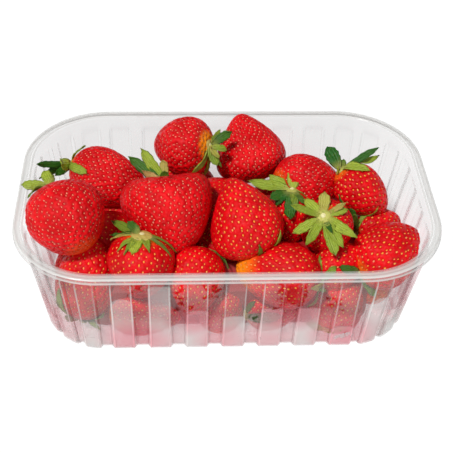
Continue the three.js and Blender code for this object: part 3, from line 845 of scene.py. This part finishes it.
def wall_limit(z):
    """How far inside the lip's edge fruit keeps at a height."""
    radius = BASE_ROUND - FRAME_SHEET - WALL_GAP
    turn = np.clip((BASE_ROUND - z) / radius, -1, 1)
    rounded = wall_inset(BASE_ROUND) - FRAME_SHEET + BASE_ROUND - radius * np.sqrt(1 - turn ** 2) + WALL_GAP
    straight = wall_inset(np.minimum(z, HEIGHT)) + WALL_GAP
    return np.where(z < BASE_ROUND, rounded, straight)


def keep_in_tray(points):
    """Presses fruit flat where it meets the tray's wall or floor."""
    points = points.copy()
    points[:, 2] = np.maximum(points[:, 2], FRAME_SHEET + FLOOR_GAP)
    inset, out = inside_lip(points)
    push = np.maximum(wall_limit(points[:, 2]) - inset, 0)
    points[:, :2] -= out * push[:, None]
    return points


def seed_directions(row):
    """Where the seeds sit: a spiral by the golden angle, evenly over the skin."""
    angles = np.linspace(0.0, math.pi, SEED_BANDS)
    length, width = row.size
    radius = radius_share(angles, row.full) * width / 2
    z = -np.cos(angles) * length / 2
    band = np.hypot(np.diff(radius), np.diff(z)) * (radius[1:] + radius[:-1]) / 2 * 2 * math.pi
    area = np.concatenate([[0], np.cumsum(band)])
    count = int(area[-1] / row.seed_area)
    number = np.arange(count)
    angle = np.interp((number + 0.5) / count * area[-1], area, angles)
    draw = np.random.default_rng(sum(map(ord, row.name)) + 5)
    turn = number * GOLDEN_ANGLE + draw.normal(0, SEED_SHIFT, count)
    angle = np.clip(angle + draw.normal(0, SEED_SLIP, count), SEED_BARE, math.pi - SEED_BARE)
    return from_stalk(angle, turn)


# Where orange begins and is full on a berry, from -1 at the stalk to 1 at the tip, and the share of it
# there. H is ripe all over.
UNRIPE = {"I": (0.4, 0.95, 1), "C": (-0.885, -0.975, 0.95), "A": (0.8, 1, 0.2), "H": (-0.86, -1, 0)}
UNRIPE_REST = (-0.86, -1, 0.5)  # all the others are a little unripe round the stalk


def unripe_share(row, directions):
    """How unripe a berry's skin is."""
    begins, full, most = UNRIPE.get(row.name, UNRIPE_REST)
    return smoothstep((directions[:, 2] - begins) / (full - begins)) * most


def ball(cuts):
    """The ball that berries start from, with each edge cut so many times."""
    deselect()
    bpy.ops.mesh.primitive_ico_sphere_add(subdivisions=BALL, radius=1)
    bpy.ops.object.mode_set(mode="EDIT")
    bpy.ops.mesh.select_all(action="SELECT")
    bpy.ops.mesh.subdivide(number_cuts=cuts)
    bpy.ops.mesh.quads_convert_to_tris()
    bpy.ops.object.mode_set(mode="OBJECT")
    return bpy.context.object


def world_normals(points, faces):
    """The direction out of the skin at each vertex."""
    corners = points[faces]
    face_normals = np.cross(corners[:, 1] - corners[:, 0], corners[:, 2] - corners[:, 0])
    normals = np.zeros_like(points)
    for corner in range(3):
        np.add.at(normals, faces[:, corner], face_normals)
    return normals / np.linalg.norm(normals, axis=1)[:, None]


def grow(row, base):
    """One berry: the points of its skin, how deep in a pit and how unripe each is, and of its seeds the
    places, the directions out and the directions to the tip."""
    directions = coordinates(base)
    directions /= np.linalg.norm(directions, axis=1)[:, None]
    faces = np.array([face.vertices[:] for face in base.polygons])
    axes = berry_axes(row)
    skin = keep_in_tray(on_berry(row, directions) @ axes + row.at)
    seeds = seed_directions(row)
    seated = keep_in_tray(on_berry(row, seeds) @ axes + row.at)
    squared = (skin ** 2).sum(1)[:, None] + (seated ** 2).sum(1) - 2 * skin @ seated.T
    nearest = squared.argmin(axis=1)
    distance = np.sqrt(np.maximum(squared[np.arange(len(skin)), nearest], 0))
    dip = np.cos(math.pi / 2 * np.clip(distance / PIT_RADIUS, 0, 1)) ** 2
    normals = world_normals(skin, faces)
    shape = keep_in_tray(skin - normals * (dip * PIT_DEPTH)[:, None])
    closest = squared.argmin(axis=0)
    out = normals[closest]
    along = axes[2] - out * (out @ axes[2])[:, None]
    along /= np.maximum(np.linalg.norm(along, axis=1), 1e-6)[:, None]
    return shape, dip, unripe_share(row, directions), seated, out, along


def buried(points, owner):
    """Which points are well inside another berry, where nothing shows."""
    hidden = np.zeros(len(points), bool)
    for row in ALL_BERRIES:
        if row is not owner:
            hidden |= inside_berry(row, points) > BURIED
    return hidden


def berries(name, rows, base, material, seeds, skins):
    """A piece of berries. Their seeds and their skins are added to the lists."""
    placed, pits, unripe = [], [], []
    for row in rows:
        shape, dip, orange, seated, out, along = grow(row, base)
        placed.append(shape * MM)
        skins.append(shape)
        pits.append(dip)
        unripe.append(orange)
        shown = ~buried(seated, row)
        seeds.append((seated[shown], out[shown], along[shown], row.seed_area == CLOSE_SEEDS))
    layers = {"pit": np.concatenate(pits), "unripe": np.concatenate(unripe)}
    return finish_piece(copies_as_one(name, base, placed, layers), material, "strawberries")


def seed_piece(name, seeds, material):
    """All the seeds of a list as one piece of small pointed grains."""
    deselect()
    bpy.ops.mesh.primitive_ico_sphere_add(subdivisions=1, radius=1)
    grain = bpy.context.object
    base = coordinates(grain.data)
    draw = np.random.default_rng(17)
    placed, tones = [], []
    for seated, out, along, close in seeds:
        across = np.cross(along, out)
        for place, up, length, side in zip(seated, out, along, across):
            grow_by = draw.uniform(*SEED_DIFFERS) * (SMALL_SEEDS if close else 1)
            width, reach, depth = (size * grow_by for size in SEED_SIZE)
            centre = place - up * (PIT_DEPTH - SEED_STANDS)
            axes = np.array([side * width, length * reach, up * depth])
            placed.append((centre + base @ axes) * MM)
            tones.append(np.full(len(base), draw.uniform(0, 0.5) + (0 if close else 0.5)))
    obj = copies_as_one(name, grain.data, placed, {"tone": np.concatenate(tones)})
    bpy.data.objects.remove(grain)
    return finish_piece(obj, material, "strawberries")


def core(material):
    """The plain hidden middle of the heap, a dark piece that shows as painted shade in the gaps between
    berries, which follows the tray's outline in three rows.
    """
    inset_rows = [
        (CORE_INSET, FRAME_SHEET + FLOOR_GAP), (CORE_INSET, CORE_SHOULDER),
        (CORE_INSET + CORE_TOP - CORE_SHOULDER, CORE_TOP),
    ]
    deselect()
    bpy.ops.mesh.primitive_cylinder_add(vertices=CORE_SIDES, radius=1, depth=1, end_fill_type="NGON")
    obj = bpy.context.object
    obj.name = "heap_core"
    bpy.ops.object.mode_set(mode="EDIT")
    bpy.ops.mesh.select_all(action="DESELECT")
    bpy.ops.object.mode_set(mode="OBJECT")
    for face in obj.data.polygons:
        face.select = face.normal.z > 0.9
    bpy.ops.object.mode_set(mode="EDIT")
    bpy.ops.mesh.extrude_region_move(TRANSFORM_OT_translate={"value": (0, 0, 1)})
    bpy.ops.object.mode_set(mode="OBJECT")
    points = coordinates(obj.data)
    level = np.rint(points[:, 2] + 0.5).astype(int)
    turn = np.arctan2(points[:, 1], points[:, 0]) / (2 * math.pi) + 0.25  # the outline starts at the front
    for index, (row, share) in enumerate(zip(level, turn)):
        inset, z = inset_rows[row]
        point, out = outline_at(share * OUTLINE_LENGTH)
        points[index] = (*(point - out * inset), z)
    move_to(obj.data, points * MM)
    return finish_piece(obj, material, "strawberries")


# ---- calyxes ---------------------------------------------------------------------------------------
LEAF_ROWS = 20
LEAF_COLUMNS = 6
LEAF_THICK = 0.35
LEAF_LIFT = 0.3  # a leaf lies this far above the skin it rests on
LEAF_START = 1.2  # the leaves part this far from the berry's axis
LEAF_ARCH = 0.12  # how far the middle of a leaf stands above a straight line, as a share of it
LEAF_BELLY = 0.42  # how far out the belly is, as a share of the leaf
LEAF_ROOT = 0.4  # width at the stalk, as a share of the belly's
LEAF_TIP = 0.1  # half the width at the tip
LEAF_SLIM = 0.8  # how wide leaves are beside what their rows say
LEAF_PALE = 6  # a leaf is paler up to this far from the stalk
LEAF_PRESSED = 0.4  # a leaf between a berry and the wall is this much nearer the wall than the berry
LEAF_BLUNT = (1.2, 4.5)  # from long points to blunt ends
LEAF_TORN = 0.1  # how far a blunt end is torn in, as a share of the leaf
LEAF_JAGS = 0.07  # how deep the small jags of a leaf's edge are, as a share of its width
JAG_TURN = (28, 40)  # radians of the jags' wave along a leaf
BELLY_STRAY = (-0.04, 0.18)  # how far in or out of its usual place a belly is
LEAF_FOLD = (-0.1, 0.45)  # how steeply a leaf's halves rise from its midrib
LEAF_WAVE = (-0.04, 0.04)  # how high a leaf waves along its length, as a share of the leaf
LEAF_RIPPLE = (0.2, 0.5)  # how high its edges ripple
RIPPLE_TURN = 11  # radians of the ripples along a leaf
RIPPLE_SLANT = 2.5  # and across half of it
TEAR_TURN = 3.5  # radians of the tears' wave across half a leaf
FREE_GAP = (1, 6)  # a leaf whose tip is this far from its berry begins to be free, and is quite free
FREE_ARCH = -0.03  # and then bends a little the other way
LEAF_TWIST = 0.8  # how much of the way a free leaf turns to show its face
TWISTED = 0.5  # the share of the leaf over which it does
TWIST_TO = np.array([0, -0.66, 0.75])  # towards the light
DRAPE_DEPTH = 4  # a leaf is lifted off the fruit under it up to this far
SKIN_HALVINGS = 18  # steps of the search for a skin's height
PUSH_HALVINGS = 12  # and for the way out of a berry
HUB_RADIUS = 2.7
HUB_HEIGHT = 0.8
HUB_TONE = 0.5
BUTTON_DISH = 0.25  # how much lower a button is in its middle, as a share of its height
SCAR_RADIUS = 1.35
SCAR_HEIGHT = 1.2
# Radius and tone of the calyxes' hubs that are not like the others.
HUBS = {"G": (4.8, 1.2), "L": (3.4, 1), "P": (2.8, 0.5), "C": (2.6, 1.3), "E": (2.9, 1.5)}


def skin_height(row, radius, turn):
    """How far from a berry's middle, towards its calyx, its skin stands at a distance from its axis."""
    low, high = np.zeros(len(radius)), np.full(len(radius), math.pi / 2)
    for _ in range(SKIN_HALVINGS):
        angle = (low + high) / 2
        skin = on_berry(row, from_stalk(angle, turn))
        inside = np.hypot(skin[:, 0], skin[:, 1]) < radius
        low, high = np.where(inside, angle, low), np.where(inside, high, angle)
    return -skin[:, 2]


def push_off(points, row, furthest):
    """Moves points that lie in a berry straight out of it, but not those that need a further push."""
    away = points - row.at
    distance = np.linalg.norm(away, axis=1)
    away /= np.maximum(distance, 1e-6)[:, None]
    near, far = distance.copy(), np.full(len(points), max(row.size))
    inside = inside_berry(row, points) > -LEAF_LIFT
    for _ in range(PUSH_HALVINGS):
        middle = (near + far) / 2
        deep = inside_berry(row, row.at + away * middle[:, None]) > 0
        near, far = np.where(deep, middle, near), np.where(deep, far, middle)
    push = np.maximum(far + LEAF_LIFT - distance, 0)
    return points + away * np.where(inside & (push < furthest), push, 0)[:, None]


def rest_on_fruit(points, owner):
    """Lifts a leaf off its own berry, and off the others that it would dip into."""
    if not owner.lobes:
        points = push_off(points, owner, max(owner.size))
    for row in ALL_BERRIES:
        reach = max(row.size)
        if row is not owner and np.linalg.norm(points - row.at, axis=1).min() < reach:
            points = push_off(points, row, DRAPE_DEPTH)
    return points


def keep_leaf_in_tray(points):
    """Keeps a leaf inside the walls, or over the rim and inside its edge."""
    points = points.copy()
    over_rim = HEIGHT + WALL_GAP + LEAF_THICK
    inset, out = inside_lip(points)
    in_wall = wall_limit(points[:, 2]) - LEAF_PRESSED
    push = np.where(points[:, 2] < over_rim, in_wall, RIM_GAP + LEAF_THICK) - inset
    lift = over_rim - points[:, 2]
    onto_rim = (push > 0) & (lift > 0) & (lift < push) & (inset > RIM_GAP)
    points[:, 2] = np.where(onto_rim, over_rim, points[:, 2])
    points[:, :2] -= out * np.where(onto_rim, 0, np.maximum(push, 0))[:, None]
    points[:, 2] = np.maximum(points[:, 2], FRAME_SHEET + FLOOR_GAP + LEAF_THICK)
    return points


def stands_free(row, leaf):
    """How free of its own berry a leaf is, from 0, lying on it, to 1."""
    steep, turn = math.radians(leaf.rise), math.radians(leaf.turn)
    out = leaf.reach * math.cos(steep)
    up = leaf.reach * math.sin(steep) + row.size[0] / 2
    tip = np.array([[out * math.cos(turn), out * math.sin(turn), -up]])
    gap = -inside_berry(row, tip @ berry_axes(row) + row.at)[0]
    return float(smoothstep((gap - FREE_GAP[0]) / (FREE_GAP[1] - FREE_GAP[0])))


def leaf_twist(row, steep, turn):
    """How far a leaf that stands free turns about its midrib, to show its face."""
    side = np.array([math.sin(turn), -math.cos(turn), 0]) @ berry_axes(row)
    level = -math.sin(steep)
    face = np.array([level * math.cos(turn), level * math.sin(turn), -math.cos(steep)]) @ berry_axes(row)
    toward = math.copysign(1, face @ TWIST_TO)
    return LEAF_TWIST * math.atan2(-side @ TWIST_TO * toward, abs(face @ TWIST_TO))


def leaf_points(row, leaf, draw):
    """A pointed leaf that arches out from the stalk, is folded along its midrib and rests on the fruit.
    It gives the leaf's points and how near to the root each one is."""
    rows, columns = np.linspace(0, 1, LEAF_ROWS + 1), np.linspace(-1, 1, LEAF_COLUMNS + 1)
    share, across = (grid.ravel() for grid in np.meshgrid(rows, columns, indexing="ij"))
    start = LEAF_START / leaf.reach
    share = start + (1 - start) * share
    belly = LEAF_BELLY + draw.uniform(*BELLY_STRAY)
    inner = np.clip((share - start) / (belly - start), 0, 1)
    outer = np.clip((share - belly) / (1 - belly), 0, 1)
    blunt = draw.uniform(*LEAF_BLUNT)
    outline = (LEAF_ROOT + (1 - LEAF_ROOT) * np.sin(inner * math.pi / 2)) * (1 - outer ** blunt)
    jagged = np.sin(share * draw.uniform(*JAG_TURN) + draw.uniform(0, 6) + across)
    outline *= 1 + LEAF_JAGS * jagged * (share > LEAF_BELLY)
    side = across * np.maximum(outline * leaf.width * LEAF_SLIM / 2, LEAF_TIP)
    fold, wave, ripple = draw.uniform(*LEAF_FOLD), draw.uniform(*LEAF_WAVE), draw.uniform(*LEAF_RIPPLE)
    free = stands_free(row, leaf)
    arch = LEAF_ARCH + (FREE_ARCH - LEAF_ARCH) * free
    torn = np.abs(np.sin(TEAR_TURN * across + draw.uniform(0, 3))) * LEAF_TORN * blunt / LEAF_BLUNT[1]
    share = share - torn * np.clip(outer * 3 - 2, 0, 1)  # in the last third alone
    ripples = np.sin(RIPPLE_TURN * share + RIPPLE_SLANT * across + draw.uniform(0, 6)) * np.abs(across)
    lift = 4 * arch * leaf.reach * share * (1 - share) + fold * np.abs(side) + ripple * ripples
    lift += wave * leaf.reach * np.sin(2 * math.pi * share)
    steep, turn = math.radians(leaf.rise), math.radians(leaf.turn)
    ahead = share * leaf.reach
    twist = leaf_twist(row, steep, turn) * free * smoothstep(share / TWISTED)
    side, lift = side * np.cos(twist) - lift * np.sin(twist), lift * np.cos(twist) + side * np.sin(twist)
    out = ahead * math.cos(steep) - lift * math.sin(steep)
    up = ahead * math.sin(steep) + lift * math.cos(steep) + row.size[0] / 2
    x = out * math.cos(turn) + side * math.sin(turn)
    y = out * math.sin(turn) - side * math.cos(turn)
    if row.lobes:
        up = np.maximum(up, skin_height(row, np.hypot(x, y), np.arctan2(y, x)) + LEAF_LIFT)
    points = np.stack([x, y, -up], axis=1) @ berry_axes(row) + row.at
    return keep_leaf_in_tray(rest_on_fruit(points, row)), 1 - smoothstep(ahead / LEAF_PALE)


def leaf_layers(tone, scar, root):
    """What the leaf's material reads: above a tone of 1 a leaf is drying out, and at 1.5 it is quite dry."""
    return {"tone": np.minimum(tone, 1), "dry": np.clip((tone - 1) * 2, 0, 1), "scar": scar, "root": root}


def calyxes(material):
    """Every leaf of every calyx, as one piece."""
    deselect()
    bpy.ops.mesh.primitive_grid_add(x_subdivisions=LEAF_COLUMNS, y_subdivisions=LEAF_ROWS, size=1)
    base = bpy.context.object
    draw = random.Random(5)
    leaves = [(row, leaf) for row in ALL_BERRIES for leaf in row.leaves]
    grown = [leaf_points(row, leaf, draw) for row, leaf in leaves]
    placed = [points * MM for points, _ in grown]
    tone = np.repeat([leaf.tone for _, leaf in leaves], len(base.data.vertices))
    root = np.concatenate([near_root for _, near_root in grown])
    obj = copies_as_one("calyx_leaves", base.data, placed, leaf_layers(tone, tone * 0, root))
    layer = obj.data.uv_layers.new(name="UVMap")
    base_uv = np.empty(len(base.data.loops) * 2)
    base.data.uv_layers[0].data.foreach_get("uv", base_uv)
    layer.data.foreach_set("uv", np.tile(base_uv, len(placed)))
    bpy.data.objects.remove(base)
    sheet = obj.modifiers.new("sheet", "SOLIDIFY")
    sheet.thickness = LEAF_THICK * MM
    sheet.offset = 0
    apply_modifiers(obj)
    smooth(obj)
    return finish_piece(obj, material, "strawberries")


def button(row, base, radius, height):
    """A low round button on the stalk's end of a berry, a little dished, from a ball."""
    x, y = base[:, 0] * radius, base[:, 1] * radius
    skin = skin_height(row, np.hypot(x, y), np.arctan2(y, x))
    dished = 1 - BUTTON_DISH + BUTTON_DISH * np.hypot(base[:, 0], base[:, 1])
    up = skin + LEAF_LIFT + base[:, 2] * height * dished
    return keep_leaf_in_tray(np.stack([x, y, -up], axis=1) @ berry_axes(row) + row.at)


def stalk_ends(material):
    """The hub that a calyx's leaves grow from, and on it the scar where the stalk was picked off."""
    deselect()
    bpy.ops.mesh.primitive_uv_sphere_add(segments=20, ring_count=10, radius=1)
    bead = bpy.context.object
    base = coordinates(bead.data)
    placed, tones, scars = [], [], []
    for row in ALL_BERRIES:
        if not row.leaves:
            continue
        radius, tone = HUBS.get(row.name, (HUB_RADIUS, HUB_TONE))
        placed.append(button(row, base, radius, HUB_HEIGHT) * MM)
        placed.append(button(row, base, SCAR_RADIUS, SCAR_HEIGHT) * MM)
        tones += [tone, 1]
        scars += [0, 1]
    tone, scar = np.repeat(tones, len(base)), np.repeat(scars, len(base))
    obj = copies_as_one("stalk_ends", bead.data, placed, leaf_layers(tone, scar, tone * 0 + 1))
    bpy.data.objects.remove(bead)
    return finish_piece(obj, material, "strawberries")


# ---- the scene -------------------------------------------------------------------------------------
CAMERA_AZIMUTH = math.radians(-3.78)
CAMERA_ELEVATION = math.radians(41.39)
CAMERA_ROLL = math.radians(2.01)
CAMERA_DISTANCE = 465.2
CAMERA_TARGET = np.array([0.57, 0.0, 32.0])
FOCAL_PIXELS = 992.4
IMAGE_PIXELS = 453
SENSOR = 36.0
NEAREST = 10  # the camera shows nothing nearer than this


def camera():
    """The camera stands in front of the tray and above it, and is rolled a little."""
    back = np.array([
        math.sin(CAMERA_AZIMUTH) * math.cos(CAMERA_ELEVATION),
        -math.cos(CAMERA_AZIMUTH) * math.cos(CAMERA_ELEVATION),
        math.sin(CAMERA_ELEVATION),
    ])
    right = np.cross(-back, (0, 0, 1))
    right /= np.linalg.norm(right)
    up = np.cross(right, -back)
    rolled = math.cos(CAMERA_ROLL) * right + math.sin(CAMERA_ROLL) * up
    upright = -math.sin(CAMERA_ROLL) * right + math.cos(CAMERA_ROLL) * up
    bpy.ops.object.camera_add()
    view = bpy.context.object
    view.name = "studio_camera"
    place = (CAMERA_TARGET + back * CAMERA_DISTANCE) * MM
    turned = np.eye(4)
    turned[:3, 0], turned[:3, 1], turned[:3, 2], turned[:3, 3] = rolled, upright, back, place
    view.matrix_world = Matrix(turned)
    view.data.sensor_width = SENSOR
    view.data.lens = FOCAL_PIXELS / IMAGE_PIXELS * SENSOR
    view.data.clip_start = NEAREST * MM
    bpy.context.scene.camera = view


FAR = 3  # the lights stand this many times further back, so that the table is lit evenly
# Where each light is, how wide, and its watts.
LIGHTS = {"key_light": ((-380, -420, 950), 140, 10.0), "fill_light": ((300, -750, 430), 500, 1.6)}
ROOM_LIGHT = 0.19
TABLE_SIZE = 6000


def soft_light(name, place, size, watts):
    bpy.ops.object.light_add(type="AREA", location=[value * FAR * MM for value in place])
    light = bpy.context.object
    light.name = name
    light.data.shape = "DISK"
    light.data.size = size * FAR * MM
    light.data.energy = watts * FAR ** 2
    light.rotation_euler = (-Vector(place)).to_track_quat("-Z", "Y").to_euler()


def studio():
    deselect()
    camera()
    for name, light in LIGHTS.items():
        soft_light(name, *light)
    world = bpy.data.worlds.new("studio")
    world.use_nodes = True
    room = world.node_tree.nodes["Background"]
    room.inputs["Color"].default_value = linear("#ffffff")
    room.inputs["Strength"].default_value = ROOM_LIGHT
    bpy.context.scene.world = world
    bpy.context.scene.view_settings.view_transform = "Standard"
    bpy.ops.mesh.primitive_plane_add(size=TABLE_SIZE * MM)
    floor = bpy.context.object
    floor.name = "table_top"
    floor.data.materials.append(white_table())


def build():
    """Every piece of the punnet. The fruit comes first, because the tray's haze clears where fruit presses on
    it and is painted with the fruit's red light.
    """
    skin = strawberry_skin()
    husk = seed_husk()
    leaf = calyx_leaf()
    fine, plain, coarse = (ball(cuts) for cuts in (TOP_CUTS, WALL_CUTS, DEEP_CUTS))
    top_seeds, low_seeds, skins = [], [], []
    half = len(TOP_BERRIES) // 2
    berries("top_berries_left", TOP_BERRIES[:half], fine.data, skin, top_seeds, skins)
    berries("top_berries_right", TOP_BERRIES[half:], fine.data, skin, top_seeds, skins)
    berries("wall_berries", WALL_BERRIES, plain.data, skin, low_seeds, skins)
    berries("deep_berries", DEEP_BERRIES, coarse.data, skin, low_seeds, skins)
    for start in (fine, plain, coarse):
        bpy.data.objects.remove(start)
    seed_piece("top_seeds", top_seeds, husk)
    seed_piece("low_seeds", low_seeds, husk)
    core(fruit_shadow())
    calyxes(leaf)
    stalk_ends(leaf)
    tray(clear_plastic(), skins)


build()
studio()
